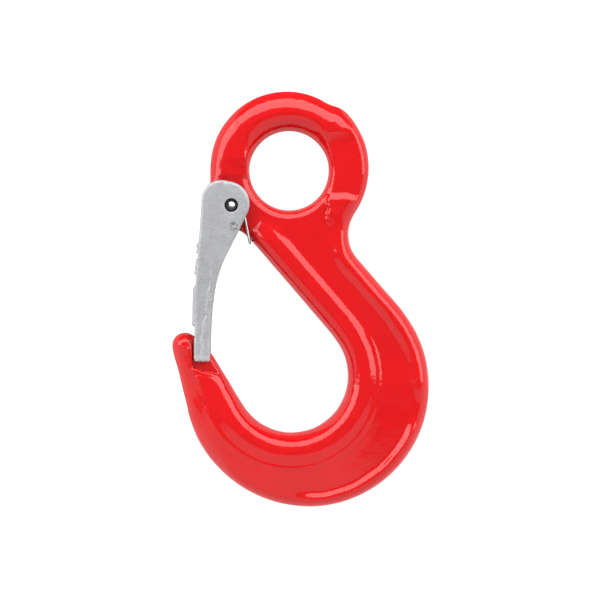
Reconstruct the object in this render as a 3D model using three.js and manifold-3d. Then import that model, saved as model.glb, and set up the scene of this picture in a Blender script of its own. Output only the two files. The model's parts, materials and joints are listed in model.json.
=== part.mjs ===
// Eye sling hook with a sprung safety latch, for 10 mm lifting chain.
// Millimetres, +Z up, hanging as in use. Origin: centre of the eye's hole, in the parting plane y = 0.
import * as THREE from 'three';
import Module from 'manifold-3d';
import { mergeVertices } from 'three/addons/utils/BufferGeometryUtils.js';

const wasm = await Module();
wasm.setup();

// Forged body
const EYE_HOLE_R = 16.8;
const EYE_LEFT = { x: -0.95, z: 1.1, r: 32.4 };
const EYE_RIGHT = { x: 0.1, z: 1.0, r: 33.8 };
const EYE_STEP_ANGLE = 50;
const NECK_HOLLOW = { x: 41.3, z: -27, r: 16.1 };
const BOWL_INSIDE = { x: 1, z: -88.2, r: 24.1 };
const BOWL_LOW_RIGHT = { x: 8.3, z: -92.7, r: 51.5 };
const BOWL_LOW_LEFT = { x: 8.5, z: -91.2, r: 53 };
const TIP_DOME = { x: -44.4, z: -74.8, r: 5.8 };
const EDGE_ROUND = 4.8;
const EYE_HALF = 6.75;
const NECK_HALF = 8.75;
const BOWL_HALF = 10.5;
const TIP_HALF = 7;
const PAD_HALF = 6.4;
const PAD_TOP = 13;
const PAD_FOOT = -9.7;

// Latch pivot, set in the lug at the foot of the eye
const PIVOT = { x: -24.3, z: -14.1 };
const LUG_R = 9.6;
const LUG_HALF = 6.3;
const LUG_CORE_HALF = 4;
const EAR_CLEARANCE_R = 14.2;
const COIL_ROOM_R = 6.2;
const LEG_ROOM = { from: 188, to: 299, r: 24 };
const PIN_R = 2.9;
const PIN_BORE_R = 1.8;
const PIN_SLOT = 0.9;
const PIN_HALF = 10.9;
const LUG_HOLE_R = 3.05;
const EAR_HOLE_R = 3;

// Latch casting
const HEAD_RIGHT = { x: -26.2, z: -13.6, r: 9.6 };
const HEAD_LEFT = { x: -28.6, z: -11.8, r: 8.3 };
const LATCH_BOTTOM = -81.1;
const HEAD_HALF = 11.2;
const FORK_HALF = 7.6;
const TAPER_TOP = -34;
const TAPER_FOOT = -62;
const EAR_WALL = 2.9;
const CHEEK_WALL = 2.5;
const WEB_WALL = 2.2;
const WEB_TOP = -19;
const WEB_FOOT = -66.2;
const RIB_HALF = 5.5;

// Seat for the fork in the tip's two sides
const SEAT_WALL_X = -41.3;
const SEAT_HALF = 4.4;

// Double torsion spring
const WIRE_R = 0.575;
const COIL_R = 4.5;
const COIL_PITCH = 1.2;
const COIL_INNER_Y = 4.7;
const EXTRA_TURNS = 2;
const HOOK_BEND = { x: -16.6, z: -30.6 };
const WEB_END = { x: -35.3, z: -38 };

const CIRCLE_STEPS = 48;
const HAIR = 0.002;
const deg = THREE.MathUtils.degToRad;

// ---------- helpers ----------

function toSolid(geometry) {
  geometry.deleteAttribute('normal');
  geometry.deleteAttribute('uv');
  const merged = mergeVertices(geometry, 1e-4);
  const mesh = new wasm.Mesh({
    numProp: 3,
    vertProperties: merged.attributes.position.array,
    triVerts: new Uint32Array(merged.index.array),
  });
  return new wasm.Manifold(mesh);
}

function toGeometry(solid) {
  const mesh = solid.getMesh();
  const geometry = new THREE.BufferGeometry();
  geometry.setAttribute('position', new THREE.BufferAttribute(mesh.vertProperties, 3));
  geometry.setIndex(new THREE.BufferAttribute(mesh.triVerts, 1));
  geometry.computeVertexNormals();
  return geometry;
}

// A side outline (x, z) made into a plate that is centred on y = 0, with rounded edges when round > 0.
function plate(shape, half, round = 0, roundDepth = round) {
  const geometry = new THREE.ExtrudeGeometry(shape, {
    depth: 2 * (half - roundDepth),
    bevelEnabled: round > 0,
    bevelThickness: roundDepth,
    bevelSize: round,
    bevelOffset: -round,
    bevelSegments: 4,
    curveSegments: CIRCLE_STEPS / 2,
  });
  geometry.translate(0, 0, -(half - roundDepth));
  geometry.rotateX(Math.PI / 2);
  return geometry;
}

// Scales a plate's thickness from place to place: halfAt(x, z) is the half thickness wanted there.
function rethickness(geometry, half, halfAt) {
  const position = geometry.attributes.position;
  for (let i = 0; i < position.count; i += 1) {
    const factor = halfAt(position.getX(i), position.getZ(i)) / half;
    position.setY(i, position.getY(i) * factor);
  }
  return geometry;
}

function crossPin(x, z, radius, yLow, yHigh, steps = CIRCLE_STEPS) {
  const geometry = new THREE.CylinderGeometry(radius, radius, yHigh - yLow, steps);
  geometry.translate(x, (yLow + yHigh) / 2, z);
  return toSolid(geometry);
}

// Evenly spaced points along an outline. Every second one moves by a hair, because the triangulation
// of a plate's faces drops a point that lies exactly in line with its neighbours.
function evenly(shape, spacing) {
  const count = Math.round(shape.getLength() / spacing);
  const points = shape.getSpacedPoints(count);
  points.pop();
  points.forEach((point, i) => point.addScalar(i % 2 ? HAIR : -HAIR));
  return new THREE.Shape(points);
}

function bothSides(solid) {
  return solid.add(solid.mirror([0, 1, 0]));
}

// ---------- hook body ----------

function bodyOutline() {
  const s = new THREE.Shape();
  const tipTop = deg(45);
  s.moveTo(-33.35, EYE_LEFT.z);
  s.lineTo(-33.6, -11.6);
  s.absarc(PIVOT.x, PIVOT.z, LUG_R, deg(165), deg(258), false);
  s.lineTo(-21.8, -25.1);
  s.bezierCurveTo(-19.3, -25.8, -17.4, -28.2, -15.2, -30.7);
  s.lineTo(13, -63.6);
  s.bezierCurveTo(20.5, -72.3, 25.5, -78.4, BOWL_INSIDE.x + BOWL_INSIDE.r, BOWL_INSIDE.z);
  s.absarc(BOWL_INSIDE.x, BOWL_INSIDE.z, BOWL_INSIDE.r, 0, deg(-149.4), true);
  s.lineTo(-32.8, -78.7);
  s.absarc(TIP_DOME.x, TIP_DOME.z, TIP_DOME.r, tipTop, Math.PI, false);
  s.bezierCurveTo(-47.9, -83.6, -45.4, -91.7, -42.9, -104.3);
  s.absarc(BOWL_LOW_LEFT.x, BOWL_LOW_LEFT.z, BOWL_LOW_LEFT.r, deg(194.3), deg(270), false);
  s.absarc(BOWL_LOW_RIGHT.x, BOWL_LOW_RIGHT.z, BOWL_LOW_RIGHT.r, deg(270), deg(360), false);
  s.bezierCurveTo(60.1, -75.6, 51.6, -62.4, 42.3, -52.7);
  s.absarc(NECK_HOLLOW.x, NECK_HOLLOW.z, NECK_HOLLOW.r, deg(220.9), deg(145.8), true);
  s.absarc(EYE_RIGHT.x, EYE_RIGHT.z, EYE_RIGHT.r, deg(-34.2), deg(EYE_STEP_ANGLE), false);
  s.absarc(EYE_LEFT.x, EYE_LEFT.z, EYE_LEFT.r, deg(EYE_STEP_ANGLE + 4), deg(180), false);
  return s;
}

function bodyHalfAt(x, z) {
  const neck = THREE.MathUtils.smoothstep(-z, 12, 36);
  const bowl = THREE.MathUtils.smoothstep(-z, 58, 112);
  const tip = THREE.MathUtils.smoothstep(z, -118, -78) * THREE.MathUtils.smoothstep(-x, 8, 36);
  const shank = EYE_HALF + (NECK_HALF - EYE_HALF) * neck + (BOWL_HALF - NECK_HALF) * bowl;
  return shank + (TIP_HALF - shank) * tip;
}

function forkSeat() {
  const s = new THREE.Shape();
  s.moveTo(SEAT_WALL_X, -60);
  s.lineTo(SEAT_WALL_X, -82.4);
  s.bezierCurveTo(-40.6, -84, -36.5, -86, -27.5, -86.8);
  s.lineTo(-16, -86.8);
  s.lineTo(-16, -60);
  return toSolid(plate(s, 10).translate(0, SEAT_HALF + 10, 0));
}

// The hollow in the lug's two sides for the spring's coils and for the legs that follow the latch.
function coilRoom() {
  const from = deg(LEG_ROOM.from);
  const to = deg(LEG_ROOM.to);
  const s = new THREE.Shape();
  s.moveTo(PIVOT.x + LEG_ROOM.r * Math.cos(from), PIVOT.z + LEG_ROOM.r * Math.sin(from));
  s.lineTo(PIVOT.x + LEG_ROOM.r * Math.cos(to), PIVOT.z + LEG_ROOM.r * Math.sin(to));
  s.absarc(PIVOT.x, PIVOT.z, COIL_ROOM_R, to - 2 * Math.PI, from, false);
  return toSolid(plate(s, 10).translate(0, LUG_CORE_HALF + 10, 0));
}

// The flat pad across the right-hand side of the eye.
function eyePad() {
  const s = new THREE.Shape();
  s.moveTo(10, PAD_FOOT);
  s.lineTo(40, PAD_FOOT);
  s.lineTo(40, PAD_TOP);
  s.lineTo(10, PAD_TOP);
  return toSolid(plate(s, 10).translate(0, PAD_HALF + 10, 0));
}

function hookBody() {
  const outline = evenly(bodyOutline(), 3.2);
  const blank = rethickness(plate(outline, NECK_HALF, EDGE_ROUND, 7.4), NECK_HALF, bodyHalfAt);
  const earRoom = crossPin(PIVOT.x, PIVOT.z, EAR_CLEARANCE_R, LUG_HALF, 3 * LUG_HALF);
  const pinHole = crossPin(PIVOT.x, PIVOT.z, LUG_HOLE_R, -2 * LUG_HALF, 2 * LUG_HALF);
  return toSolid(blank)
    .subtract(eyeBore())
    .subtract(bothSides(earRoom))
    .subtract(bothSides(coilRoom()))
    .subtract(bothSides(forkSeat()))
    .subtract(bothSides(eyePad()))
    .subtract(pinHole);
}

// The eye's hole, with the forging's round lip at both faces.
function eyeBore() {
  const lip = EYE_HALF - 0.6;
  const profile = [new THREE.Vector2(0, -2 * EYE_HALF)];
  for (let i = 0; i <= 12; i += 1) {
    const a = deg(-90 + 15 * i);
    const flare = EDGE_ROUND * (1 - Math.cos(a));
    profile.push(new THREE.Vector2(EYE_HOLE_R + flare, lip * Math.sin(a)));
  }
  profile.splice(1, 0, new THREE.Vector2(EYE_HOLE_R + EDGE_ROUND, -2 * EYE_HALF));
  profile.push(new THREE.Vector2(EYE_HOLE_R + EDGE_ROUND, 2 * EYE_HALF));
  profile.push(new THREE.Vector2(0, 2 * EYE_HALF));
  return toSolid(new THREE.LatheGeometry(profile, CIRCLE_STEPS));
}

// ---------- latch ----------

function latchOutline() {
  const s = new THREE.Shape();
  s.moveTo(-34.3, LATCH_BOTTOM);
  s.lineTo(-33.8, LATCH_BOTTOM + 0.7);
  s.lineTo(-33.6, -76.3);
  s.bezierCurveTo(-32.9, -46.7, -30.2, -42.5, -22.1, -26.9);
  s.lineTo(-18.1, -18.6);
  s.absarc(HEAD_RIGHT.x, HEAD_RIGHT.z, HEAD_RIGHT.r, deg(-22), deg(72), false);
  s.absarc(HEAD_LEFT.x, HEAD_LEFT.z, HEAD_LEFT.r, deg(82), deg(185), false);
  s.lineTo(-38.6, -36);
  s.lineTo(-39.8, -49);
  s.lineTo(-40.45, -78.4);
  s.lineTo(-40.3, LATCH_BOTTOM + 0.9);
  s.lineTo(-39.3, LATCH_BOTTOM);
  return s;
}

// Everything within the latch's width, seen from its edge: head at the top, tapering to the fork.
function widthProfile(headHalf, forkHalf) {
  const s = new THREE.Shape();
  s.moveTo(headHalf, 20);
  s.lineTo(headHalf, TAPER_TOP);
  s.lineTo(forkHalf, TAPER_FOOT);
  s.lineTo(forkHalf, -100);
  s.lineTo(-forkHalf, -100);
  s.lineTo(-forkHalf, TAPER_FOOT);
  s.lineTo(-headHalf, TAPER_TOP);
  s.lineTo(-headHalf, 20);
  const geometry = new THREE.ExtrudeGeometry(s, { depth: 90, bevelEnabled: false });
  const yAxis = new THREE.Vector3(0, 1, 0);
  const zAxis = new THREE.Vector3(0, 0, 1);
  const xAxis = new THREE.Vector3(1, 0, 0);
  geometry.applyMatrix4(new THREE.Matrix4().makeBasis(yAxis, zAxis, xAxis));
  geometry.translate(-75, 0, 0);
  return toSolid(geometry);
}

// The hollow of the latch: open towards the bowl, over the lug at the top and through the fork's foot.
function latchChannel() {
  const s = new THREE.Shape();
  s.moveTo(-60, 5);
  s.lineTo(-60, WEB_TOP);
  s.lineTo(-38 + WEB_WALL, WEB_TOP);
  s.lineTo(-38.6 + WEB_WALL, -36);
  s.lineTo(-40 + WEB_WALL, -49);
  s.lineTo(-40.5 + WEB_WALL, WEB_FOOT);
  s.lineTo(-60, WEB_FOOT);
  s.lineTo(-60, -95);
  s.lineTo(0, -95);
  s.lineTo(0, 5);
  return toSolid(plate(s, HEAD_HALF)).intersect(widthProfile(HEAD_HALF - EAR_WALL, FORK_HALF - CHEEK_WALL));
}

// A raised rib or pad across the outside of the web, from zTop down to zFoot.
function webRib(xWeb, zTop, zFoot, height) {
  const s = new THREE.Shape();
  s.moveTo(xWeb + 1, zTop);
  s.quadraticCurveTo(xWeb - 2 * height, (zTop + zFoot) / 2, xWeb + 1, zFoot);
  return toSolid(plate(s, RIB_HALF));
}

function latch() {
  const outline = plate(evenly(latchOutline(), 2.2), HEAD_HALF);
  const pinHole = crossPin(PIVOT.x, PIVOT.z, EAR_HOLE_R, -2 * HEAD_HALF, 2 * HEAD_HALF, 32);
  return toSolid(outline)
    .intersect(widthProfile(HEAD_HALF, FORK_HALF))
    .add(webRib(-38.4, -30.4, -35.2, 1.4))
    .add(webRib(-39, -37, -44, 1.5))
    .add(webRib(-39.9, -48.8, WEB_FOOT, 1.9))
    .subtract(latchChannel())
    .subtract(pinHole);
}

// ---------- pin and spring ----------

// Rolled from strip: a tube with a slot along its whole length.
function slottedPin() {
  const slotAngle = PIN_SLOT / PIN_R;
  const s = new THREE.Shape();
  s.absarc(PIVOT.x, PIVOT.z, PIN_R, slotAngle / 2, 2 * Math.PI - slotAngle / 2, false);
  s.absarc(PIVOT.x, PIVOT.z, PIN_BORE_R, 2 * Math.PI - slotAngle, slotAngle, true);
  return plate(s, PIN_HALF);
}

// The wire's centre line on the side where y is positive, from the end on the web to the bend at the neck.
function springHalf() {
  const angleTo = (end, side) => {
    const dx = end.x - PIVOT.x;
    const dz = end.z - PIVOT.z;
    return Math.atan2(dz, dx) + side * Math.acos(COIL_R / Math.hypot(dx, dz));
  };
  const start = angleTo(WEB_END, -1) + 2 * Math.PI;
  const finish = angleTo(HOOK_BEND, 1) - EXTRA_TURNS * 2 * Math.PI;
  const outerY = COIL_INNER_Y + COIL_PITCH * (start - finish) / (2 * Math.PI);
  const points = [new THREE.Vector3(WEB_END.x, COIL_INNER_Y, WEB_END.z)];
  const turnSteps = Math.round((start - finish) / deg(22.5));
  const tangent = new THREE.Vector3(
    PIVOT.x + COIL_R * Math.cos(start),
    COIL_INNER_Y,
    PIVOT.z + COIL_R * Math.sin(start),
  );
  points.push(new THREE.Vector3().lerpVectors(points[0], tangent, 0.5));
  for (let i = 0; i <= turnSteps; i += 1) {
    const a = start + (finish - start) * i / turnSteps;
    const y = COIL_INNER_Y + (outerY - COIL_INNER_Y) * i / turnSteps;
    points.push(new THREE.Vector3(PIVOT.x + COIL_R * Math.cos(a), y, PIVOT.z + COIL_R * Math.sin(a)));
  }
  const last = points[points.length - 1];
  const bend = new THREE.Vector3(HOOK_BEND.x, outerY, HOOK_BEND.z);
  points.push(new THREE.Vector3().lerpVectors(last, bend, 0.5));
  points.push(new THREE.Vector3().lerpVectors(last, bend, 0.93));
  points.push(new THREE.Vector3(HOOK_BEND.x, outerY - 1.4, HOOK_BEND.z));
  return points;
}

function springWire() {
  const half = springHalf();
  const mirrored = half.map((p) => new THREE.Vector3(p.x, -p.y, p.z)).reverse();
  const middle = new THREE.Vector3(HOOK_BEND.x, 0, HOOK_BEND.z);
  const path = new THREE.CatmullRomCurve3([...half, middle, ...mirrored], false, 'centripetal');
  const section = new THREE.Shape().absarc(0, 0, WIRE_R, 0, 2 * Math.PI, false);
  return new THREE.ExtrudeGeometry(section, {
    steps: 140,
    curveSegments: 4,
    bevelEnabled: false,
    extrudePath: path,
  });
}

// ---------- assembly ----------

function material(colour, roughness, metalness) {
  return new THREE.MeshStandardMaterial({ color: colour, roughness, metalness });
}

const hook = new THREE.Group();

function place(name, geometry, finish) {
  const mesh = new THREE.Mesh(geometry, finish);
  mesh.name = name;
  hook.add(mesh);
}

place('hook_body', toGeometry(hookBody()), material(0xe4181c, 0.22, 0));
place('latch', toGeometry(latch()), material(0xb2b4b7, 0.5, 0.75));
place('latch_pin', slottedPin(), material(0x202022, 0.4, 0.7));
place('latch_spring', springWire(), material(0xc4c6c9, 0.25, 0.95));

export default hook;
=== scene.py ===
import json
import math

import bmesh
import bpy
import numpy as np
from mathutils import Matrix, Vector


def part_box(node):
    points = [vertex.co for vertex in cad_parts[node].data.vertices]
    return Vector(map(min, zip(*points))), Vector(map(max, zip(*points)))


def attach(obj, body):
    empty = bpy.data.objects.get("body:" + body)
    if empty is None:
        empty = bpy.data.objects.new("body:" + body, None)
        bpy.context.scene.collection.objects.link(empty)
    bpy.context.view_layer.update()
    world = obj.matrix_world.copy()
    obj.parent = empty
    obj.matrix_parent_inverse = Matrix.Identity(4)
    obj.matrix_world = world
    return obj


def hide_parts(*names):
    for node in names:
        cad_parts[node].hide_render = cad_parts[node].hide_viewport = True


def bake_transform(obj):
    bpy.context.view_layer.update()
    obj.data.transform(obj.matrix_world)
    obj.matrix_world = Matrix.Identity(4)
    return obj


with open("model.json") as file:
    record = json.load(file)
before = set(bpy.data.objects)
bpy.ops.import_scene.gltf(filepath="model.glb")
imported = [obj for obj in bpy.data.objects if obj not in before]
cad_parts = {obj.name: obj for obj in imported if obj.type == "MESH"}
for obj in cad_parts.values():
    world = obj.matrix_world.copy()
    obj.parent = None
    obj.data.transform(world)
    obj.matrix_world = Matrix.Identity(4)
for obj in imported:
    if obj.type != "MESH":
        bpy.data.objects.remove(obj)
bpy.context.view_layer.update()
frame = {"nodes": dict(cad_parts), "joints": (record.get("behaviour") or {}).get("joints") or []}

MM = 0.001
CELL = 0.5
CELL_LATCH = 0.35

JOINT = frame["joints"][0]
PIVOT_X = JOINT["pos_m"][0] / MM
PIVOT_Z = JOINT["pos_m"][2] / MM

# Forged body: half thicknesses, radii, and places on the side view as (x, z)
EYE_R = 16.8
EYE_HALF = 7.0
NECK_HALF = 8.75
BOWL_HALF = 10.4
PANEL_HALF = 8.9
TIP_HALF = 6.95
EYE_CENTRE = (0.0, 0.0)
SADDLE = (1.0, -88.2)
EYE_FOOT = (27.6, -18.6)
LUG_CORNER = (-15.2, -30.7)
TIP_TOP = (-42.5, -69.6)
TIP_DOME = (-44.4, -73.5)
FLASH_HEIGHT = 0.13
FLASH_HALF = 0.8

# Relief on the eye's faces, and the bevel round its hole
RING_RISE = 0.3
SHOULDER_RISE = 0.45
SHOULDER_TURN = 44.0
PAD_DROP = 0.62
PAD_TOP_Z = (17.0, 12.3)
PAD_FOOT_LOW = 9.2
EAR_SIDE_DROP = 0.45
EAR_FALL = 0.64
BEVEL_DEPTH = 1.9
BEVEL_R = 20.1
PLAIN_LIP = 1.7
ROUND_LIP = 7.3
PAD_LIP = 1.1

# How far in from the outline the edges are rounded
NECK_REACH = 6.3
RING_REACH = 8.4
RING_LEFT_REACH = 4.0
PAD_REACH = 3.6
TIP_REACH = 5.7
TIP_OUTER_REACH = 3.3
BOWL_LEFT_REACH = 7.5
DOME_REACH = 4.8

# The bowl's terraces, as distances from its inner edge
TERRACE_START = 9.7
TERRACE_END = 13.1
SECOND_START = 12.9
SECOND_END = 14.6
SECOND_SHARE = 0.38
PANEL_FALL = 0.165
OUTER_RIM_RISE = 1.47

# Room that the lug leaves for the latch's ears and the spring's coils
LUG_HALF = 6.3
LUG_CORE_HALF = 4.0
EAR_ROOM_R = 14.2
EAR_ROOM_TOP = -2.6
COIL_ROOM_R = 6.2
COIL_ROOM_REACH = 21.0
LEG_TURN = math.radians(27.0)
PIN_CLEARANCE = 0.12

# Seat for the latch's fork, and the low ledge beside it
SEAT_WALL_X = -41.2
SEAT_FLOOR_Z = -86.7
SEAT_HALF = 4.45
SEAT_LUMPS = ((-41.0, -84.6, 0.45, 1.0), (-39.2, -87.6, 0.5, 0.9))
LEDGE_X = (-41.0, -38.75, -35.35, -32.16, -29.82, -26.85, -24.0)
LEDGE_Z = (-86.8, -87.04, -87.6, -88.54, -90.47, -94.75, -101.0)
LEDGE_DROP = 0.38

# Latch casting
HEAD_HALF = 11.2
FORK_HALF = 7.6
TAPER_TOP = -34.0
TAPER_FOOT = -62.0
TAPER_SOFTNESS = 0.2
EAR_WALL = 2.9
EAR_HOLE_R = 2.88
CHEEK_WALL = 2.5
WEB_WALL = 2.2
WEB_TOP = -19.0
WEB_FOOT = -66.2
WEB_Z = (WEB_FOOT, -49.0, -36.0, WEB_TOP)
WEB_X = (-38.3, -37.8, -36.4, -35.8)
PAD_TOP = -49.0
GRIP_RIBS = (-31.6, -34.1, -38.4, -40.7, -43.0)
TOE = (-37.05, -76.0)
TOE_HALF_SIZES = (2.5, 4.1)
TOE_ROUND = 0.9
TOE_BEVEL_TOP = -78.3
SEAM_Z = (-77.0, -73.4, -67.7, -60.4, -51.0, -43.7, -37.4)
SEAM_X = (-36.9, -37.2, -36.4, -34.9, -33.8, -32.5, -31.5)
HEAD_NICK = (-26.5, -4.2)
DENT = (-23.2, -22.4)
STAIN = (-23.4, 0.0, -23.0)

# Pin and spring
PIN_R = 2.78
PIN_BORE_R = 1.5
PIN_HALF = 10.9
PIN_SLOT = 0.4
WIRE_R = 0.5
COIL_R = 4.5
COIL_PITCH = 1.2
COIL_INNER_Y = 4.7
EXTRA_TURNS = 2
BEND_R = 1.3
NECK_BEND = (-16.6, -30.6)
WEB_END = (-35.3, -38.0)

# Stage, in metres
FLOOR_Z = -0.3
LIGHTS_CENTRE = Vector((0.005, 0.0, -0.056))
VIEW_TARGET = Vector((4.65, 0.0, -55.16)) * MM
VIEW_DISTANCE = 1.110
VIEW_PITCH = math.radians(5.06)


# ---------------------------------------------------------------- fields

def smoothstep(value, low, high):
    t = np.clip((value - low) / (high - low), 0.0, 1.0)
    return t * t * (3.0 - 2.0 * t)


def bump(value, centre, width):
    return np.exp(-((value - centre) / width) ** 2)


def smooth_max(a, b, radius):
    h = np.clip(0.5 + 0.5 * (a - b) / radius, 0.0, 1.0)
    return b + (a - b) * h + radius * h * (1.0 - h)


def smooth_min(a, b, radius):
    return -smooth_max(-a, -b, radius)


def lattice_noise(x, y, z, size, seed):
    """Smooth value noise between -1 and 1, from a seeded random lattice with the given cell size."""
    values = np.random.default_rng(seed).uniform(-1.0, 1.0, (32, 32, 32))
    scaled = [np.asarray(axis) / size + 512.0 for axis in (x, y, z)]
    base = [np.floor(axis).astype(int) for axis in scaled]
    part = [axis - low for axis, low in zip(scaled, base)]
    part = [t * t * (3.0 - 2.0 * t) for t in part]
    total = 0.0
    for corner in range(8):
        weight = 1.0
        index = []
        for axis in range(3):
            up = (corner >> axis) & 1
            weight = weight * (part[axis] if up else 1.0 - part[axis])
            index.append((base[axis] + up) % 32)
        total = total + weight * values[index[0], index[1], index[2]]
    return total


def flat_noise(x, z, size, seed):
    """The same noise over the side view, the same through the whole thickness."""
    return lattice_noise(x, 0.0 * x, z, size, seed)


def cad_loops(node, y_mm, width_at=None):
    """Closed outlines (x, z) in mm where the plane y = y_mm cuts a CAD node, longest first.
    width_at(z) gives the half width that the node is first evened out from, to HEAD_HALF."""
    bm = bmesh.new()
    bm.from_mesh(frame["nodes"][node].data)
    bmesh.ops.remove_doubles(bm, verts=bm.verts, dist=1e-6)
    if width_at:
        for vert in bm.verts:
            vert.co.y *= HEAD_HALF / float(width_at(vert.co.z / MM))
    cut = bmesh.ops.bisect_plane(
        bm,
        geom=bm.verts[:] + bm.edges[:] + bm.faces[:],
        plane_co=(0.0, y_mm * MM, 0.0),
        plane_no=(0.0, 1.0, 0.0),
    )
    edges = [e for e in cut["geom_cut"] if isinstance(e, bmesh.types.BMEdge)]
    # Sorted by place, so that every run starts each loop at the same point
    edges.sort(key=lambda e: sorted(v.co[:] for v in e.verts))
    loops = []
    while edges:
        first, here = sorted(edges.pop().verts, key=lambda v: v.co[:])
        points = [first.co[:], here.co[:]]
        while True:
            onward = [e for e in here.link_edges if e in edges]
            if not onward:
                break
            edges.remove(onward[0])
            here = onward[0].other_vert(here)
            if here is first:
                break
            points.append(here.co[:])
        loop = np.array(points)[:, [0, 2]] / MM
        loops.append(loop)
    bm.free()
    spans = [np.linalg.norm(np.roll(p, -1, 0) - p, axis=1).sum() for p in loops]
    return [loops[i] for i in np.argsort(spans)[::-1]]


def evenly(loop, spacing):
    """The closed loop resampled at even steps along its straight edges."""
    closed = np.vstack([loop, loop[:1]])
    along = np.concatenate([[0.0], np.cumsum(np.linalg.norm(np.diff(closed, axis=0), axis=1))])
    count = int(round(along[-1] / spacing))
    at = np.linspace(0.0, along[-1], count, endpoint=False)
    return np.stack([np.interp(at, along, closed[:, k]) for k in range(2)], axis=1)


def rounded(loop, steps=3):
    """A smooth closed curve through the loop's points, as a finer polyline."""
    before, after, far = np.roll(loop, 1, 0), np.roll(loop, -1, 0), np.roll(loop, -2, 0)
    parts = []
    for k in range(steps):
        t = k / steps
        parts.append(0.5 * (
            2.0 * loop
            + (after - before) * t
            + (2.0 * before - 5.0 * loop + 4.0 * after - far) * t * t
            + (3.0 * loop - before - 3.0 * after + far) * t ** 3
        ))
    return np.stack(parts, axis=1).reshape(-1, 2)


def distance_to(path, x, z, closed=True):
    """Distance from every (x, z) to a polyline."""
    ends = np.roll(path, -1, 0) if closed else path[1:]
    starts = path if closed else path[:-1]
    best = np.full(x.shape, 1e9)
    for a, b in zip(starts, ends):
        step = b - a
        length2 = max(step @ step, 1e-12)
        t = np.clip(((x - a[0]) * step[0] + (z - a[1]) * step[1]) / length2, 0.0, 1.0)
        gap2 = (x - a[0] - t * step[0]) ** 2 + (z - a[1] - t * step[1]) ** 2
        best = np.minimum(best, gap2)
    return np.sqrt(best)


def inside(path, x, z):
    odd = np.zeros(x.shape, bool)
    for a, b in zip(path, np.roll(path, -1, 0)):
        if a[1] == b[1]:
            continue
        crosses = (a[1] > z) != (b[1] > z)
        odd ^= crosses & (x < a[0] + (z - a[1]) * (b[0] - a[0]) / (b[1] - a[1]))
    return odd


def depth_inside(path, x, z):
    """Distance to a closed outline, positive inside it."""
    gap = distance_to(path, x, z)
    return np.where(inside(path, x, z), gap, -gap)


def between(path, start, end):
    """The stretch of a closed loop from its point nearest to start, forwards to the one nearest to end."""
    first = int(np.argmin(((path - start) ** 2).sum(1)))
    last = int(np.argmin(((path - end) ** 2).sum(1)))
    if last < first:
        last += len(path)
    return path[np.arange(first, last + 1) % len(path)]


# ---------------------------------------------------------------- meshes

def polygonise(field, origin, cell):
    """Quads over the zero surface of a field on a regular grid, negative inside, with outward faces."""
    solid = field < 0.0
    cells = np.array(field.shape) - 1
    ids, points, quads = [], [], []
    for axis in range(3):
        low = [slice(None)] * 3
        high = [slice(None)] * 3
        low[axis] = slice(0, -1)
        high[axis] = slice(1, None)
        index = np.argwhere(solid[tuple(low)] != solid[tuple(high)])
        other = index.copy()
        other[:, axis] += 1
        f0 = field[tuple(index.T)]
        f1 = field[tuple(other.T)]
        point = index.astype(float)
        point[:, axis] += f0 / (f0 - f1)
        ring = []
        for du, dv in ((-1, -1), (0, -1), (0, 0), (-1, 0)):
            corner = index.copy()
            corner[:, (axis + 1) % 3] += du
            corner[:, (axis + 2) % 3] += dv
            ring.append((corner[:, 0] * cells[1] + corner[:, 1]) * cells[2] + corner[:, 2])
            ids.append(ring[-1])
            points.append(point)
        quad = np.stack(ring, axis=1)
        quads.append(np.where((f0 < 0.0)[:, None], quad, quad[:, ::-1]))
    names, where = np.unique(np.concatenate(ids), return_inverse=True)
    stacked = np.concatenate(points)
    counts = np.bincount(where)
    verts = np.stack([np.bincount(where, stacked[:, k]) / counts for k in range(3)], axis=1)
    faces = np.searchsorted(names, np.concatenate(quads))
    return verts * cell + origin, faces


def relax(verts, faces, rounds):
    """Evens out a mesh with as little shrinking as possible."""
    pairs = np.concatenate([faces[:, [k, (k + 1) % 4]] for k in range(4)])
    pairs = np.unique(np.sort(pairs, axis=1), axis=0)
    ends = np.concatenate([pairs, pairs[:, ::-1]])
    counts = np.bincount(ends[:, 0], minlength=len(verts))[:, None]
    for number in range(2 * rounds):
        factor = 0.55 if number % 2 == 0 else -0.57
        means = np.stack(
            [np.bincount(ends[:, 0], verts[ends[:, 1], k], len(verts)) for k in range(3)], axis=1
        ) / counts
        verts = verts + factor * (means - verts)
    return verts


def to_object(name, verts_mm, faces):
    mesh = bpy.data.meshes.new(name)
    mesh.from_pydata((np.asarray(verts_mm) * MM).tolist(), [], [list(map(int, f)) for f in faces])
    mesh.validate()
    mesh.shade_smooth()
    piece = bpy.data.objects.new(name, mesh)
    bpy.context.scene.collection.objects.link(piece)
    return piece


def ring_faces(rings, count):
    """Quads between neighbouring closed rings of count points each."""
    faces = []
    for ring in range(rings - 1):
        for k in range(count):
            a, b = ring * count + k, ring * count + (k + 1) % count
            faces.append((a, b, b + count, a + count))
    return faces


def from_field(name, box, field, cell, rounds):
    """A piece meshed from a field over a CAD node's box, which is in metres."""
    low, high = (np.array(corner) / MM for corner in box)
    axes = [np.arange(a - 2.0 * cell, b + 3.0 * cell, cell) for a, b in zip(low, high)]
    verts, faces = polygonise(field(*axes), np.array([axis[0] for axis in axes]), cell)
    return to_object(name, relax(verts, faces, rounds), faces)


# ---------------------------------------------------------------- hook body

def eased(value, low, high, softness=0.12):
    """A straight ramp from 0 at low to 1 at high, with its two corners rounded off."""
    t = (value - low) / (high - low)
    return smooth_min(smooth_max(t, 0.0, softness), 1.0, softness)


def turn_from(x, z, centre):
    """Angle in degrees round a centre, 0 to the right, counted anticlockwise from -180 to 180."""
    return np.degrees(np.arctan2(z - centre[1], x - centre[0]))


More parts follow.
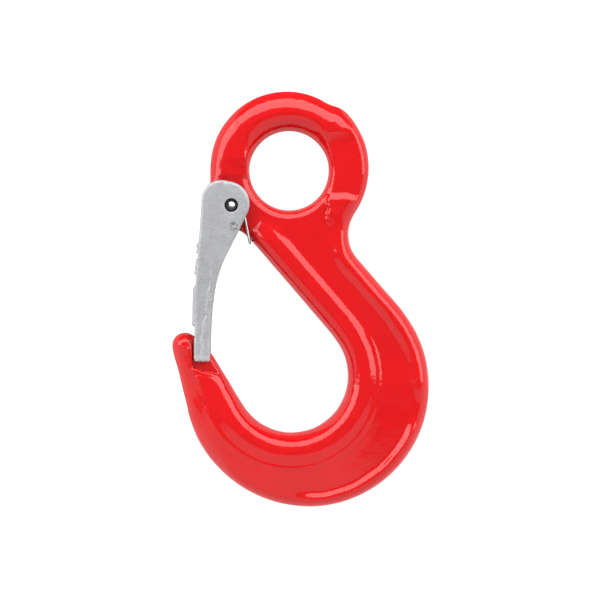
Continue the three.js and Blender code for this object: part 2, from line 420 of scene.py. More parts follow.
def outline_parts():
    """The body's outline, its inner stretch from tip to lug, and its outer stretch from eye to tip."""
    outline = rounded(evenly(cad_loops("hook_body", 0.05)[0], 3.0))
    onward = np.roll(outline, -1, 0)
    if (onward[:, 1] * outline[:, 0] - outline[:, 1] * onward[:, 0]).sum() > 0:
        outline = outline[::-1]
    inner = between(outline, LUG_CORNER, TIP_TOP)
    if len(inner) > len(outline) / 2:
        inner = between(outline, TIP_TOP, LUG_CORNER)
    outer = between(outline, EYE_FOOT, TIP_TOP)
    if len(outer) > 0.62 * len(outline) or len(outer) < 0.2 * len(outline):
        outer = between(outline, TIP_TOP, EYE_FOOT)
    return outline, inner, outer


def pad_step(x, z):
    """0 on the eye's flat pad, rising to 1 below the uneven step at its foot."""
    top = PAD_FOOT_LOW + 0.8 * smoothstep(x, 22.0, 31.0) + 0.45 * flat_noise(x, z, 3.4, 23)
    return eased(-z, top - 0.2, top + 2.4)


def face_height(x, z, s, v):
    """Half thickness of the forging's faces before the edges are rounded.
    s and v are the distances from the bowl's inner edge and from the outer edge."""
    turn = turn_from(x, z, SADDLE)
    low = -z
    under = np.where(turn < 60.0, smoothstep(-turn, 8.0, 85.0), 1.0) * (low > 70.0)
    rim = EYE_HALF + (NECK_HALF - EYE_HALF) * smoothstep(low, 19.0, 31.0)
    rim = rim + (BOWL_HALF - NECK_HALF) * smoothstep(low, 60.0, 104.0)
    panel = EYE_HALF + 0.25 * smoothstep(low, 30.0, 60.0)
    panel = panel + (PANEL_HALF - EYE_HALF - 0.25) * smoothstep(low, 70.0, 104.0)
    # Inner rim, a terrace with a shallow groove at its foot, then the panel, which falls away at the bottom
    bowl = smoothstep(low, 64.0, 72.0)
    first = eased(s, TERRACE_START - 0.4 * bowl - 0.7 * under, TERRACE_END - 1.2 * bowl + 0.4 * under)
    second = eased(s, SECOND_START + 1.0 * under, SECOND_END + 0.7 * under)
    share = SECOND_SHARE * bowl
    half = rim - (rim - panel) * ((1.0 - share) * first + share * second)
    half = half - (0.08 + 0.12 * under) * bowl * bump(s, 12.4 + 0.8 * under, 0.6)
    half = half - 0.5 * bump(turn, -38.0, 24.0) * bowl * eased(s, 13.6, 18.5)
    half = half - PANEL_FALL * under * np.clip(s - 15.5, 0.0, 18.0)
    half = half + 0.05 * under * flat_noise(s, turn / 6.0, 2.1, 24) * smoothstep(s, 5.0, 12.0)
    # Outer rim: wide below the eye, narrow along the neck and the lower right, gone at the lower left
    neck_side = smoothstep(z, -99.5, -89.5)
    lower = smoothstep(-turn, 17.0, 25.0) * smoothstep(turn, -90.0, -79.0) * (z < -88.2)
    wobble = 0.22 * np.sin(0.21 * z + 0.4) + 0.12 * np.sin(0.53 * x)
    edge = eased(-v, -8.7 + 1.6 * (1.0 - neck_side) + wobble, -5.4 + 0.3 * (1.0 - neck_side) + wobble)
    ragged = 1.1 * flat_noise(x, z, 2.6, 21) + 0.7 * flat_noise(x, z, 0.9, 22)
    block = eased(x, 15.7 + ragged, 17.1 + 0.4 * ragged) * pad_step(x, z)
    block = block * (1.0 - 0.92 * smoothstep(low, 16.5, 26.0) * (1.0 - smoothstep(x, 17.5, 24.0)))
    edge = edge + (block - edge) * smoothstep(z, -38.0, -29.0)
    outer_top = panel + OUTER_RIM_RISE - PANEL_FALL * under * np.clip(s + v - 22.6, 0.0, 18.0)
    share = np.maximum(neck_side * (x > 8.0), lower) * edge
    return half + np.clip(outer_top - half, 0.0, None) * share


def eye_zones(x, z):
    """Shares of the round ring, of the round lip in the hole, and of the flat pad at the eye's right."""
    turn = turn_from(x, z, EYE_CENTRE)
    right = smoothstep(turn, 32.0, 46.0)
    ring = np.where(x < 0.0, smoothstep(z, -5.0, 0.5), right)
    lip = smoothstep(180.0 - np.abs(turn), 2.0, 55.0) * smoothstep(turn, 12.0, 62.0)
    pad = smoothstep(turn, -24.0, -18.0) * (1.0 - smoothstep(turn, 30.0, 44.0))
    return ring, lip, pad


def tip_marks(x, z):
    """What the die and the trimming left round the tip: an uneven dome, and lumps in the seat's corner."""
    dome = bump(x, TIP_DOME[0], 6.0) * bump(z, TIP_DOME[1], 5.0)
    marks = 0.75 * dome * flat_noise(x, z, 2.1, 31)
    for lump_x, lump_z, height, width in SEAT_LUMPS:
        marks = marks + height * bump(np.hypot(x - lump_x, z - lump_z), 0.0, width)
    # The low ledge beside the seat
    ledge = eased(z - np.interp(x, LEDGE_X, LEDGE_Z), 0.0, 0.9) * smoothstep(x, LEDGE_X[0], -37.0)
    return marks - LEDGE_DROP * ledge * (x < -23.0) * (z < -60.0) * smoothstep(z, -94.5, -90.0)


def eye_bevel(radius, ring, pad):
    """Depth of the bevel round the hole, away from the round ring and shallow on the pad."""
    return BEVEL_DEPTH * (1.0 - ring) * (1.0 - 0.75 * pad) * eased(-radius, -BEVEL_R, -EYE_R, 0.06)


def eye_relief(x, z, ring):
    """How much the eye's faces stand above or below the rest: ring and shoulder up, pad and lug down."""
    pad_low = eased(-z, -PAD_TOP_Z[0], -PAD_TOP_Z[1], 0.08) * (1.0 - pad_step(x, z))
    shoulder = bump(turn_from(x, z, EYE_CENTRE), SHOULDER_TURN, 16.0)
    relief = (RING_RISE * ring + SHOULDER_RISE * shoulder) * (1.0 - pad_low)
    relief = relief - PAD_DROP * pad_low * smoothstep(x, 8.0, 12.0)
    ear_side = smoothstep(-z, -7.5, -1.0) * (1.0 - smoothstep(x, -18.0, -12.0)) * ring
    relief = relief - EAR_SIDE_DROP * ear_side
    # The face falls away towards the ears, less along one direction from the pin
    round_pivot = turn_from(x, z, (PIVOT_X, PIVOT_Z))
    to_pivot = np.hypot(x - PIVOT_X, z - PIVOT_Z)
    fall = smoothstep(-to_pivot, -20.5, -14.5) * smoothstep(x, -26.0, -17.0)
    return relief - EAR_FALL * fall * (1.0 - 0.6 * bump(round_pivot, -33.0, 9.0))


def edge_reach(x, z, s, v, ring, pad, tip):
    """How far in from the outline the edge's rounding reaches."""
    reach = NECK_REACH - 1.8 * smoothstep(s, 14.0, 20.0) * smoothstep(-z, 18.0, 30.0)
    ring_reach = RING_REACH + RING_LEFT_REACH * smoothstep(-x, 21.0, 30.0)
    reach = reach + (ring_reach - reach) * ring
    reach = reach + (PAD_REACH - reach) * pad
    tip_reach = TIP_REACH + TIP_OUTER_REACH * smoothstep(s - v, -3.0, 3.0)
    reach = reach + (tip_reach - reach) * smoothstep(tip, 0.3, 1.0)
    # Wide on the outer side where the bowl rises to the tip, narrow on the tip's dome
    wide = smoothstep(-x, 22.0, 38.0) * smoothstep(-z, 84.0, 98.0) * smoothstep(s - v, -7.0, 9.0)
    reach = reach + BOWL_LEFT_REACH * wide
    return reach + (DOME_REACH - reach) * bump(x, TIP_DOME[0], 7.0) * bump(z, TIP_DOME[1] + 1.5, 4.5)


def hook_field(x, y, z):
    """The forging, negative inside, on the grid of the three axes."""
    outline, inner, outer = outline_parts()
    flat_x, flat_z = np.meshgrid(x, z, indexing="ij")
    gap = depth_inside(outline, flat_x, flat_z)
    s = distance_to(inner, flat_x, flat_z, closed=False)
    v = distance_to(outer, flat_x, flat_z, closed=False)
    radius = np.hypot(flat_x, flat_z)
    half = face_height(flat_x, flat_z, s, v)
    ring, lip, pad = eye_zones(flat_x, flat_z)
    tip = smoothstep(flat_z, -112.0, -84.0) * smoothstep(-flat_x, 10.0, 34.0)
    bevel = eye_bevel(radius, ring, pad)
    half = half + (TIP_HALF - half) * tip + tip_marks(flat_x, flat_z)
    half = half + eye_relief(flat_x, flat_z, ring) - bevel
    reach = edge_reach(flat_x, flat_z, s, v, ring, pad, tip)
    bore_reach = PLAIN_LIP + ROUND_LIP * lip + PAD_LIP * pad
    side = np.clip(1.0 - gap / reach, 0.0, None)[:, None, :]
    bore = np.clip(1.0 - (radius - EYE_R) / bore_reach, 0.0, None)[:, None, :]
    # Forging scale: broad waves that differ on the two faces, and a finer grain
    x3, y3, z3 = x[:, None, None], y[None, :, None], z[None, None, :]
    rough = 0.07 * lattice_noise(x3, 3.0 * np.sign(y3), z3, 9.0, 4)
    rough = rough + 0.03 * lattice_noise(x3, y3, z3, 3.2, 5)
    depth = np.abs(y3)
    height = depth / (half[:, None, :] + rough)
    # The ring's section runs to a blunt edge at the parting plane
    body = (side ** 2 + bore ** 2 + height ** (2.0 - 0.6 * ring)[:, None, :]) ** 0.5 - 1.0
    body = body * np.minimum(half, reach)[:, None, :]
    # The trimmed flash along the parting plane
    flash = FLASH_HEIGHT + 0.07 * flat_noise(flat_x, flat_z, 5.0, 6)
    body = body - flash[:, None, :] * bump(depth, 0.0, FLASH_HALF)
    body = cut_lug(body, flat_x, flat_z, depth, bevel)
    seat = fork_seat(flat_x, flat_z)[:, None, :]
    return smooth_max(body, -np.maximum(seat, SEAT_HALF - depth), 0.8)


def cut_lug(body, x, z, depth, bevel):
    """Cuts the room for the latch's ears, for the coils and the spring's leg, and the hole for the pin."""
    to_pivot = np.hypot(x - PIVOT_X, z - PIVOT_Z)
    room = smooth_max(to_pivot - EAR_ROOM_R, z - EAR_ROOM_TOP, 1.5)
    ear_room = smooth_max(room[:, None, :], (LUG_HALF - bevel)[:, None, :] - depth, 1.4)
    softness = 1.0 + 0.7 * smoothstep(z, -13.0, -6.0)[:, None, :]
    body = smooth_max(body, -ear_room, softness)
    wedge = np.maximum(
        (x - PIVOT_X) * math.cos(LEG_TURN) + (z - PIVOT_Z) * math.sin(LEG_TURN),
        z - PIVOT_Z - 0.14 * (x - PIVOT_X),
    )
    to_pivot = to_pivot[:, None, :]
    coil_room = np.maximum(np.minimum(to_pivot - COIL_ROOM_R, wedge[:, None, :]), LUG_CORE_HALF - depth)
    coil_room = smooth_max(coil_room, to_pivot - COIL_ROOM_REACH, 2.0)
    body = smooth_max(body, -coil_room, 1.4)
    return np.maximum(body, PIN_R + PIN_CLEARANCE - to_pivot)


def fork_seat(x, z):
    """Outline of the seat for the latch's fork, negative inside: a wall to the left, a dished floor."""
    floor = SEAT_FLOOR_Z + 2.7 * np.clip((-28.0 - x) / 12.5, 0.0, 1.2) ** 1.5
    opening = np.maximum(x + 20.0, z + 62.0)
    floor = floor + 0.35 * bump(x, -39.0, 1.0) - 0.2 * bump(x, -37.2, 0.8)
    return np.maximum(smooth_max(SEAT_WALL_X - x, floor - z, 1.5), opening)


def make_hook():
    piece = from_field("forged_hook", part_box("hook_body"), hook_field, CELL, 3)
    piece.data.materials.append(red_enamel())
    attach(piece, "hook")
    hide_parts("hook_body")


# ---------------------------------------------------------------- latch

def taper(z):
    return np.clip((TAPER_TOP - z) / (TAPER_TOP - TAPER_FOOT), 0.0, 1.0)


def latch_half(z):
    return HEAD_HALF + (FORK_HALF - HEAD_HALF) * taper(z)


def latch_face(z):
    """The half width as cast, with the taper's two bends rounded off."""
    t = (TAPER_TOP - z) / (TAPER_TOP - TAPER_FOOT)
    t = smooth_min(smooth_max(t, 0.0, TAPER_SOFTNESS), 1.0, TAPER_SOFTNESS)
    return HEAD_HALF + (FORK_HALF - HEAD_HALF) * t


def channel_half(z):
    return latch_half(z) - EAR_WALL - (CHEEK_WALL - EAR_WALL) * taper(z)


def rounded_corner(a, b, radius):
    """The meeting of two faces given as distances, with an outside corner of that radius."""
    outside = np.hypot(np.clip(a + radius, 0.0, None), np.clip(b + radius, 0.0, None))
    return outside + np.minimum(np.maximum(a, b) + radius, 0.0) - radius


def rounded_bar(x, y, z, half_sizes, radius):
    """Distance to a box with rounded edges, centred where x, y and z are 0."""
    parts = [np.abs(axis) - (size - radius) for axis, size in zip((x, y, z), half_sizes)]
    outside = sum(np.clip(part, 0.0, None) ** 2 for part in parts) ** 0.5
    return outside + np.minimum(np.maximum(np.maximum(parts[0], parts[1]), parts[2]), 0.0) - radius


def toe_depth(x, z):
    """Distance to the toe's rounded outline, positive inside it."""
    past_x, past_z = (np.abs(a - b) - size for a, b, size in zip((x, z), TOE, TOE_HALF_SIZES))
    outside = np.hypot(np.clip(past_x, 0.0, None), np.clip(past_z, 0.0, None))
    return TOE_ROUND - outside - np.minimum(np.maximum(past_x, past_z), 0.0)


def casting_marks(x, z):
    """A wandering seam down the fork, less a nick at the head's top and a dent under the pin."""
    seam_x = np.interp(z, SEAM_Z, SEAM_X) + 0.25 * np.sin(0.9 * z)
    seam_x = seam_x + 0.3 * flat_noise(x, z, 1.6, 12)
    seam = 0.45 * bump(x, seam_x, 0.45) * smoothstep(-z, 38.0, 46.0)
    nick = 0.5 * bump(x, HEAD_NICK[0], 0.8) * bump(z, HEAD_NICK[1], 0.7)
    dent = 0.3 * bump(x, DENT[0], 1.1) * bump(z, DENT[1], 0.8)
    return seam - (nick + dent)


def latch_field(x, y, z):
    """The casting, negative inside, on the grid of the three axes."""
    outline = rounded(cad_loops("latch", 0.87 * HEAD_HALF, latch_half)[0], 3)
    flat_x, flat_z = np.meshgrid(x, z, indexing="ij")
    gap = np.maximum(depth_inside(outline, flat_x, flat_z), toe_depth(flat_x, flat_z))
    x3, y3, z3 = flat_x[:, None, :], y[None, :, None], flat_z[:, None, :]
    depth = np.abs(y3)
    toe_bevel = np.clip((TOE_BEVEL_TOP - z3) / 2.8, 0.0, 1.2)
    grain = 0.035 * lattice_noise(x3, y3, z3, 2.2, 11)
    half = latch_face(z3) - toe_bevel + casting_marks(flat_x, flat_z)[:, None, :] + grain
    casting = rounded_corner(-gap[:, None, :] + grain, depth - half, 1.1)
    web_x = np.interp(flat_z, WEB_Z, WEB_X)[:, None, :]
    web = np.maximum(np.maximum(x3 - web_x, z3 - WEB_TOP), WEB_FOOT - z3)
    channel = np.maximum(depth - channel_half(z3), -web)
    casting = smooth_max(casting, -channel, 0.7)
    outer_x = web_x - WEB_WALL
    pad_length = 0.5 * (PAD_TOP - WEB_FOOT)
    pad = rounded_bar(x3 - outer_x - 0.6, y3, z3 - WEB_FOOT - pad_length, (1.5, 5.6, pad_length), 1.3)
    casting = smooth_min(casting, pad, 0.7)
    for rib_z in GRIP_RIBS:
        rib = rounded_bar(x3 - outer_x - 0.4, y3, z3 - rib_z, (1.35, 5.8, 0.85), 0.6)
        casting = smooth_min(casting, rib, 0.5)
    to_pivot = np.hypot(flat_x - PIVOT_X, flat_z - PIVOT_Z)[:, None, :]
    return np.maximum(casting, EAR_HOLE_R - to_pivot)


def make_latch():
    piece = from_field("cast_latch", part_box("latch"), latch_field, CELL_LATCH, 2)
    piece.data.materials.append(cast_zinc())
    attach(piece, "latch")
    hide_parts("latch")


# ---------------------------------------------------------------- pin and spring

def make_pin():
    """A tube rolled from strip, slotted along its length, with its ends drawn in."""
    lip = 0.35
    ends = 0.7
    profile = [
        (PIN_BORE_R, -PIN_HALF + lip), (PIN_BORE_R + lip, -PIN_HALF), (PIN_R - 0.45, -PIN_HALF),
        (PIN_R, -PIN_HALF + ends), (PIN_R, PIN_HALF - ends), (PIN_R - 0.45, PIN_HALF),
        (PIN_BORE_R + lip, PIN_HALF), (PIN_BORE_R, PIN_HALF - lip),
    ]
    half_slot = 0.5 * PIN_SLOT / PIN_R
    angles = np.linspace(half_slot, 2.0 * math.pi - half_slot, 73) + 1.25 * math.pi
    verts = [
        (PIVOT_X + r * math.cos(a), y, PIVOT_Z + r * math.sin(a)) for a in angles for r, y in profile
    ]
    n = len(profile)
    faces = []
    for ring in range(len(angles) - 1):
        for k in range(n):
            a, b = ring * n + k, ring * n + (k + 1) % n
            faces.append((a, a + n, b + n, b))
    faces.append(tuple(range(n)))
    faces.append(tuple(range(len(verts) - 1, len(verts) - n - 1, -1)))
    piece = to_object("spring_pin", verts, faces)
    bevel = piece.modifiers.new("soft_edges", "BEVEL")
    bevel.width = 0.12 * MM
    bevel.segments = 3
    bevel.harden_normals = True
    piece.data.set_sharp_from_angle(angle=math.radians(35.0))
    piece.data.materials.append(black_oxide())
    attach(piece, "hook")
    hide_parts("latch_pin")


def spring_side():
    """The wire's centre line for y above 0, from its end on the web to the bend at the neck."""
    def leave_angle(end, side):
        dx, dz = end[0] - PIVOT_X, end[1] - PIVOT_Z
        return math.atan2(dz, dx) + side * math.acos(COIL_R / math.hypot(dx, dz))

    start = leave_angle(WEB_END, -1) + 2.0 * math.pi
    finish = leave_angle(NECK_BEND, 1) - 2.0 * math.pi * EXTRA_TURNS
    outer_y = COIL_INNER_Y + COIL_PITCH * (start - finish) / (2.0 * math.pi)
    turn = np.linspace(start, finish, 110)
    coil = np.stack([
        PIVOT_X + COIL_R * np.cos(turn),
        np.linspace(COIL_INNER_Y, outer_y, len(turn)),
        PIVOT_Z + COIL_R * np.sin(turn),
    ], axis=1)
    foot = np.array([WEB_END[0], COIL_INNER_Y, WEB_END[1]])
    leg_in = foot + (coil[0] - foot) * np.linspace(0.0, 1.0, 14, endpoint=False)[:, None]
    bend_start = np.array([NECK_BEND[0], outer_y, NECK_BEND[1]])
    reach = np.linalg.norm(bend_start - coil[-1])
    leg_out = coil[-1] + (bend_start - coil[-1]) * np.linspace(0.08, 1.0 - BEND_R / reach, 12)[:, None]
    down = (bend_start - coil[-1]) / reach
    corner = leg_out[-1] + np.array([0.0, -BEND_R, 0.0])
    sweep = np.linspace(0.0, 0.5 * math.pi, 9)[1:, None]
    bend = corner + BEND_R * (np.cos(sweep) * np.array([0.0, 1.0, 0.0]) + np.sin(sweep) * down)
    return np.concatenate([leg_in, coil, leg_out, bend])


def sweep_tube(path, radius, sides):
    """A closed tube along a path, with softly rounded ends."""
    tangents = np.gradient(path, axis=0)
    tangents /= np.linalg.norm(tangents, axis=1)[:, None]
    normal = np.cross(tangents[0], (0.3, 0.2, 0.9))
    around = 2.0 * math.pi * np.arange(sides) / sides
    spots = []
    for point, tangent in zip(path, tangents):
        normal = normal - tangent * (normal @ tangent)
        normal = normal / np.linalg.norm(normal)
        circle = np.cos(around)[:, None] * normal + np.sin(around)[:, None] * np.cross(tangent, normal)
        spots.append((point, tangent, circle))

    def ring_at(spot, scale, ahead):
        point, tangent, circle = spot
        return point + tangent * ahead * radius * 2.0 + scale * radius * circle

    verts = [ring_at(spots[0], 0.55, -0.22), ring_at(spots[0], 0.86, -0.12)]
    verts += [ring_at(spot, 1.0, 0.0) for spot in spots]
    verts += [ring_at(spots[-1], 0.86, 0.12), ring_at(spots[-1], 0.55, 0.22)]
    count = len(verts)
    faces = ring_faces(count, sides)
    faces.append(tuple(range(sides - 1, -1, -1)))
    faces.append(tuple(range((count - 1) * sides, count * sides)))
    return np.concatenate(verts), faces


def make_spring():
    half = spring_side()
    mirrored = half[::-1] * np.array([1.0, -1.0, 1.0])
    bridge = np.linspace(half[-1], mirrored[0], 16)[1:-1]
    verts, faces = sweep_tube(np.concatenate([half, bridge, mirrored]), WIRE_R, 14)
    piece = to_object("torsion_spring", verts, faces)
    piece.data.materials.append(spring_steel())
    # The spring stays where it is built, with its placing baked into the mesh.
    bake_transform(piece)
    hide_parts("latch_spring")


# ---------------------------------------------------------------- materials

def node_material(name):
    material = bpy.data.materials.new(name)
    material.use_nodes = True
    nodes = material.node_tree.nodes
    nodes.clear()
    output = nodes.new("ShaderNodeOutputMaterial")
    shader = nodes.new("ShaderNodeBsdfPrincipled")
    material.node_tree.links.new(shader.outputs["BSDF"], output.inputs["Surface"])
    return material, material.node_tree, shader


def map_range(tree, value, low, high, to_low, to_high):
    """A node that maps low..high to to_low..to_high, held at the ends. low may be above high."""
    node = tree.nodes.new("ShaderNodeMapRange")
    node.inputs["From Min"].default_value = low
    node.inputs["From Max"].default_value = high
    node.inputs["To Min"].default_value = to_low
    node.inputs["To Max"].default_value = to_high
    tree.links.new(value, node.inputs["Value"])
    return node


class Graph:
    """Small helpers for wiring a material's nodes over object coordinates in millimetres."""

    def __init__(self, tree):
        self.tree = tree
        place = tree.nodes.new("ShaderNodeTexCoord")
        scale = tree.nodes.new("ShaderNodeVectorMath")
        scale.operation = "SCALE"
        scale.inputs["Scale"].default_value = 1.0 / MM
        tree.links.new(place.outputs["Object"], scale.inputs[0])
        self.place = scale.outputs["Vector"]

    def stretched(self, x, y, z):
        """The place, scaled along each axis."""
        node = self.tree.nodes.new("ShaderNodeVectorMath")
        node.operation = "MULTIPLY"
        node.inputs[1].default_value = (x, y, z)
        self.tree.links.new(self.place, node.inputs[0])
        return node.outputs["Vector"]

    def noise(self, size, detail=2.0, rough=0.5, vector=None):
        """Noise from 0 to 1 with features of about the given size."""
        node = self.tree.nodes.new("ShaderNodeTexNoise")
        node.inputs["Scale"].default_value = 1.0 / size
        node.inputs["Detail"].default_value = detail
        node.inputs["Roughness"].default_value = rough
        self.tree.links.new(vector or self.place, node.inputs["Vector"])
        return node.outputs[0]

    def spots(self, size, radius):
        """1 inside sparse round spots, 0 elsewhere: one spot per cell of that size, as a share of it."""
        node = self.tree.nodes.new("ShaderNodeTexVoronoi")
        node.inputs["Scale"].default_value = 1.0 / size
        self.tree.links.new(self.place, node.inputs["Vector"])
        return self.spread(node.outputs["Distance"], 1.5 * radius / size, 0.6 * radius / size, 0.0, 1.0)

    def level(self):
        """Height above the eye's centre."""
        node = self.tree.nodes.new("ShaderNodeSeparateXYZ")
        self.tree.links.new(self.place, node.inputs["Vector"])
        return node.outputs["Z"]

    def near(self, point, inner, outer):
        """1 within the inner distance of a point on the side view, 0 beyond the outer one."""
        node = self.tree.nodes.new("ShaderNodeVectorMath")
        node.operation = "DISTANCE"
        node.inputs[1].default_value = point
        self.tree.links.new(self.stretched(1.0, 0.0, 1.0), node.inputs[0])
        return self.spread(node.outputs["Value"], outer, inner, 0.0, 1.0)

    def spread(self, value, low, high, to_low, to_high):
        return map_range(self.tree, value, low, high, to_low, to_high).outputs["Result"]

    def sums(self, operation, first, second):
        """One arithmetic step between two values, each a socket or a number."""
        node = self.tree.nodes.new("ShaderNodeMath")
        node.operation = operation
        for socket, value in zip(node.inputs, (first, second)):
            if isinstance(value, float):
                socket.default_value = value
            else:
                self.tree.links.new(value, socket)
        return node.outputs["Value"]

    def blend(self, share, first, second):
        """The first colour where the share is 0, the second where it is 1."""
        node = self.tree.nodes.new("ShaderNodeMix")
        node.data_type = "RGBA"
        for name, value in (("A_Color", first), ("B_Color", second)):
            socket = next(s for s in node.inputs if s.identifier == name)
            if isinstance(value, tuple):
                socket.default_value = (*value, 1.0)
            else:
                self.tree.links.new(value, socket)
        self.tree.links.new(share, node.inputs["Factor"])
        return next(s for s in node.outputs if s.identifier == "Result_Color")

    def raised(self, height, depth_mm, below=None):
        """A bumped normal, on top of another one if that is given."""
        node = self.tree.nodes.new("ShaderNodeBump")
        node.inputs["Strength"].default_value = 1.0
        node.inputs["Distance"].default_value = depth_mm * MM
        self.tree.links.new(height, node.inputs["Height"])
        if below:
            self.tree.links.new(below, node.inputs["Normal"])
        return node.outputs["Normal"]


def red_enamel():
    """Sprayed gloss paint over a forging: orange peel, slightly uneven film, a few nibs and dull rubs."""
    material, tree, shader = node_material("red_enamel")
    graph = Graph(tree)
    film = graph.spread(graph.noise(14.0, 3.0, 0.6), 0.35, 0.65, 0.0, 1.0)
    colour = graph.blend(film, (0.33, 0.0014, 0.0022), (0.355, 0.0018, 0.0028))
    mottle = graph.spread(graph.noise(2.4, 3.0, 0.6), 0.62, 0.8, 0.0, 0.22)
    colour = graph.blend(mottle, colour, (0.22, 0.0012, 0.002))
    nibs = graph.spots(5.5, 0.16)
    colour = graph.blend(graph.sums("MULTIPLY", nibs, 0.6), colour, (0.12, 0.001, 0.0014))
    tree.links.new(colour, shader.inputs["Base Color"])
    rubs = graph.spread(graph.noise(9.0, 5.0, 0.7, graph.stretched(1.0, 1.0, 0.35)), 0.6, 0.78, 0.0, 0.1)
    gloss = graph.spread(graph.noise(1.1, 2.0), 0.3, 0.7, 0.075, 0.125)
    tree.links.new(graph.sums("ADD", gloss, rubs), shader.inputs["Roughness"])
    peel = graph.raised(graph.noise(1.5, 1.5), 0.03)
    waves = graph.raised(graph.noise(6.0, 2.0), 0.12, peel)
    tree.links.new(graph.raised(nibs, 0.03, waves), shader.inputs["Normal"])
    shader.inputs["IOR"].default_value = 1.38
    # The gloss weakens where the film is seen edge on
    facing = tree.nodes.new("ShaderNodeLayerWeight").outputs["Facing"]
    tree.links.new(graph.spread(facing, 0.37, 0.7, 0.5, 0.06), shader.inputs["Specular IOR Level"])
    return material


def cast_zinc():
    """Zinc over a die casting: mottled grey grain, faint drag marks across it, stains, and a painted
    highlight on the toe's bevel.
    """
    material, tree, shader = node_material("cast_zinc")
    graph = Graph(tree)
    grain = graph.noise(0.55, 4.0, 0.65)
    cloud = graph.noise(4.5, 4.0, 0.65)
    drags = graph.noise(1.0, 3.0, 0.6, graph.stretched(0.13, 0.5, 1.6))
    share = graph.spread(cloud, 0.35, 0.68, 0.0, 1.0)
    colour = graph.blend(share, (0.205, 0.207, 0.216), (0.245, 0.248, 0.257))
    colour = graph.blend(graph.spread(grain, 0.42, 0.72, 0.0, 0.5), colour, (0.35, 0.352, 0.355))
    colour = graph.blend(graph.spread(drags, 0.52, 0.72, 0.0, 0.5), colour, (0.165, 0.17, 0.178))
    stain = graph.spread(graph.noise(5.0, 5.0, 0.75), 0.6, 0.72, 0.0, 0.6)
    colour = graph.blend(stain, colour, (0.15, 0.15, 0.15))
    colour = graph.blend(graph.sums("MULTIPLY", graph.spots(3.4, 0.2), 0.7), colour, (0.09, 0.09, 0.09))
    patchy = graph.spread(graph.noise(0.9, 3.0, 0.7), 0.42, 0.54, 0.0, 0.9)
    dirt = graph.sums("MULTIPLY", graph.near(STAIN, 1.0, 2.4), patchy)
    colour = graph.blend(dirt, colour, (0.035, 0.035, 0.037))
    # The toe's bevel is painted lighter, a painted highlight where the bevel catches the light
    wear_and_highlight = graph.spread(graph.level(), TOE_BEVEL_TOP + 0.4, TOE_BEVEL_TOP - 0.1, 0.0, 0.75)
    colour = graph.blend(wear_and_highlight, colour, (0.33, 0.325, 0.335))
    tree.links.new(colour, shader.inputs["Base Color"])
    tree.links.new(graph.spread(grain, 0.35, 0.7, 0.56, 0.42), shader.inputs["Roughness"])
    rough = graph.raised(grain, 0.05)
    rough = graph.raised(drags, 0.05, rough)
    tree.links.new(graph.raised(cloud, 0.12, rough), shader.inputs["Normal"])
    shader.inputs["Metallic"].default_value = 0.4
    return material


def black_oxide():
    """Blackened steel, a little brown in places, rubbed bright in specks."""
    material, tree, shader = node_material("black_oxide")
    graph = Graph(tree)
    patch = graph.spread(graph.noise(1.6, 4.0, 0.6), 0.4, 0.65, 0.0, 1.0)
    colour = graph.blend(patch, (0.010, 0.010, 0.012), (0.024, 0.020, 0.018))
    wear_and_highlight = graph.spread(graph.noise(0.5, 4.0, 0.7), 0.66, 0.78, 0.0, 0.6)
    colour = graph.blend(wear_and_highlight, colour, (0.16, 0.16, 0.17))
    tree.links.new(colour, shader.inputs["Base Color"])
    tree.links.new(graph.spread(graph.noise(0.7, 3.0), 0.3, 0.7, 0.34, 0.5), shader.inputs["Roughness"])
    tree.links.new(graph.raised(graph.noise(0.35, 3.0), 0.02), shader.inputs["Normal"])
    shader.inputs["Metallic"].default_value = 0.7
    return material


def spring_steel():
    """Drawn wire: bright steel with a thin grey film and fine drawing marks."""
    material, tree, shader = node_material("spring_steel")
    graph = Graph(tree)
    film = graph.spread(graph.noise(1.3, 4.0, 0.6), 0.35, 0.65, 0.0, 1.0)
    colour = graph.blend(film, (0.30, 0.30, 0.31), (0.42, 0.42, 0.42))
    dark = graph.spread(graph.noise(0.6, 4.0, 0.7), 0.6, 0.75, 0.0, 0.5)
    colour = graph.blend(dark, colour, (0.2, 0.19, 0.18))
    tree.links.new(colour, shader.inputs["Base Color"])
    tree.links.new(graph.spread(graph.noise(0.5, 3.0), 0.3, 0.7, 0.2, 0.36), shader.inputs["Roughness"])
    tree.links.new(graph.raised(graph.noise(0.25, 2.0), 0.008), shader.inputs["Normal"])
    shader.inputs["Metallic"].default_value = 1.0
    return material


# ---------------------------------------------------------------- stage

def make_camera():
    data = bpy.data.cameras.new("camera")
    data.sensor_width = 36.0
    data.lens = 156.0
    camera = bpy.data.objects.new("camera", data)
    bpy.context.scene.collection.objects.link(camera)
    back = Vector((0.0, -math.cos(VIEW_PITCH), math.sin(VIEW_PITCH)))
    camera.location = VIEW_TARGET + VIEW_DISTANCE * back
    camera.rotation_euler = (math.radians(90.0) - VIEW_PITCH, 0.0, 0.0)
    data.clip_end = 100.0
    bpy.context.scene.camera = camera


def softbox(name, centre, size, facing, radiance):
    """A soft panel of light, in metres, its centre counted from the middle of the part."""
    data = bpy.data.lights.new(name, "AREA")
    data.shape = "RECTANGLE"
    data.size, data.size_y = size
    data.energy = radiance * math.pi * size[0] * size[1]
    lamp = bpy.data.objects.new(name, data)
    bpy.context.scene.collection.objects.link(lamp)
    lamp.location = LIGHTS_CENTRE + Vector(centre)
    lamp.rotation_euler = Vector(facing).to_track_quat("-Z", "Y").to_euler()
    lamp.visible_camera = False
    return lamp


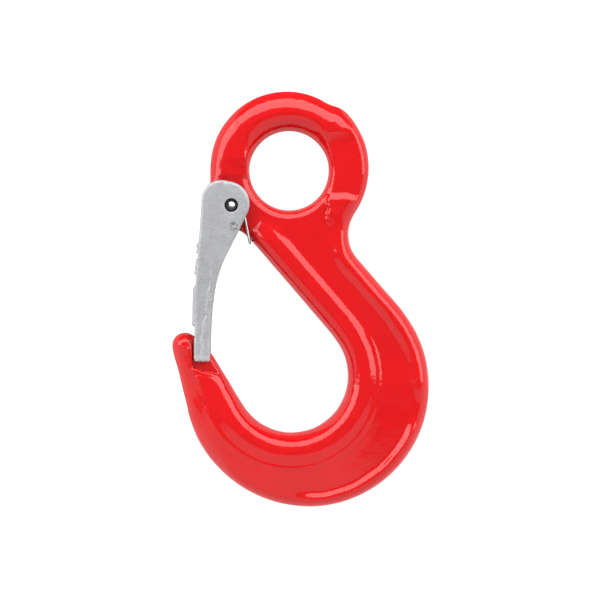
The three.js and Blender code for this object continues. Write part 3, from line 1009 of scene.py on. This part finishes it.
def pale_paper():
    """White paper that gives light of its own, so that it shows as pure white behind the part."""
    material, tree, shader = node_material("pale_paper")
    shader.inputs["Base Color"].default_value = (0.14, 0.14, 0.14, 1.0)
    shader.inputs["Roughness"].default_value = 0.9
    shader.inputs["Emission Color"].default_value = (1.0, 1.0, 1.0, 1.0)
    # The paper's own light fades towards the front of the room
    place = tree.nodes.new("ShaderNodeTexCoord")
    split = tree.nodes.new("ShaderNodeSeparateXYZ")
    tree.links.new(place.outputs["Object"], split.inputs["Vector"])
    fade = map_range(tree, split.outputs["Y"], -0.85, -0.33, 0.34, 1.55)
    fade.interpolation_type = "SMOOTHSTEP"
    # and is a little weaker behind the part than under it
    behind = map_range(tree, split.outputs["Y"], 0.35, 0.6, 1.0, 0.7)
    product = tree.nodes.new("ShaderNodeMath")
    product.operation = "MULTIPLY"
    tree.links.new(fade.outputs["Result"], product.inputs[0])
    tree.links.new(behind.outputs["Result"], product.inputs[1])
    tree.links.new(product.outputs["Value"], shader.inputs["Emission Strength"])
    return material


def make_world():
    world = bpy.data.worlds.new("world")
    world.use_nodes = True
    world.node_tree.nodes["Background"].inputs["Color"].default_value = (1.0, 1.0, 1.0, 1.0)
    world.node_tree.nodes["Background"].inputs["Strength"].default_value = 0.33
    bpy.context.scene.world = world
    bpy.context.scene.view_settings.view_transform = "Standard"


def make_stage():
    """A white sweep all round: flat floor, then a wide curve up into a wall."""
    sweep = np.linspace(0.2, 0.5 * math.pi, 8)
    profile = [(1.5, 0.0), (3.0, 0.0)]
    profile += [(3.0 + 2.0 * math.sin(a), 2.0 - 2.0 * math.cos(a)) for a in sweep]
    profile.append((5.0, 5.0))
    count = 64
    verts = [
        (r * math.cos(2.0 * math.pi * k / count), r * math.sin(2.0 * math.pi * k / count), FLOOR_Z + h)
        for r, h in profile for k in range(count)
    ]
    faces = [tuple(range(count))] + ring_faces(len(profile), count)
    mesh = bpy.data.meshes.new("backdrop")
    mesh.from_pydata(verts, [], faces)
    mesh.shade_smooth()
    floor = bpy.data.objects.new("backdrop", mesh)
    bpy.context.scene.collection.objects.link(floor)
    mesh.materials.append(pale_paper())


make_camera()
make_stage()
make_world()
softbox("left_light", (-0.9, -0.65, 0.42), (1.18, 0.92), (1.0, 0.0, 0.0), 5.2)
softbox("right_light", (0.9, -0.65, 0.42), (1.18, 0.92), (-1.0, 0.0, 0.0), 4.9)
softbox("top_light", (0.0, -0.65, 0.9), (1.8, 1.18), (0.0, 0.0, -1.0), 5.0)
# Light thrown back up by the floor, too soft to show as a reflection
softbox("floor_glow", (0.0, -0.1, -0.2), (0.9, 0.9), (0.0, 0.0, 1.0), 0.5).visible_glossy = False
make_hook()
make_latch()
make_pin()
make_spring()
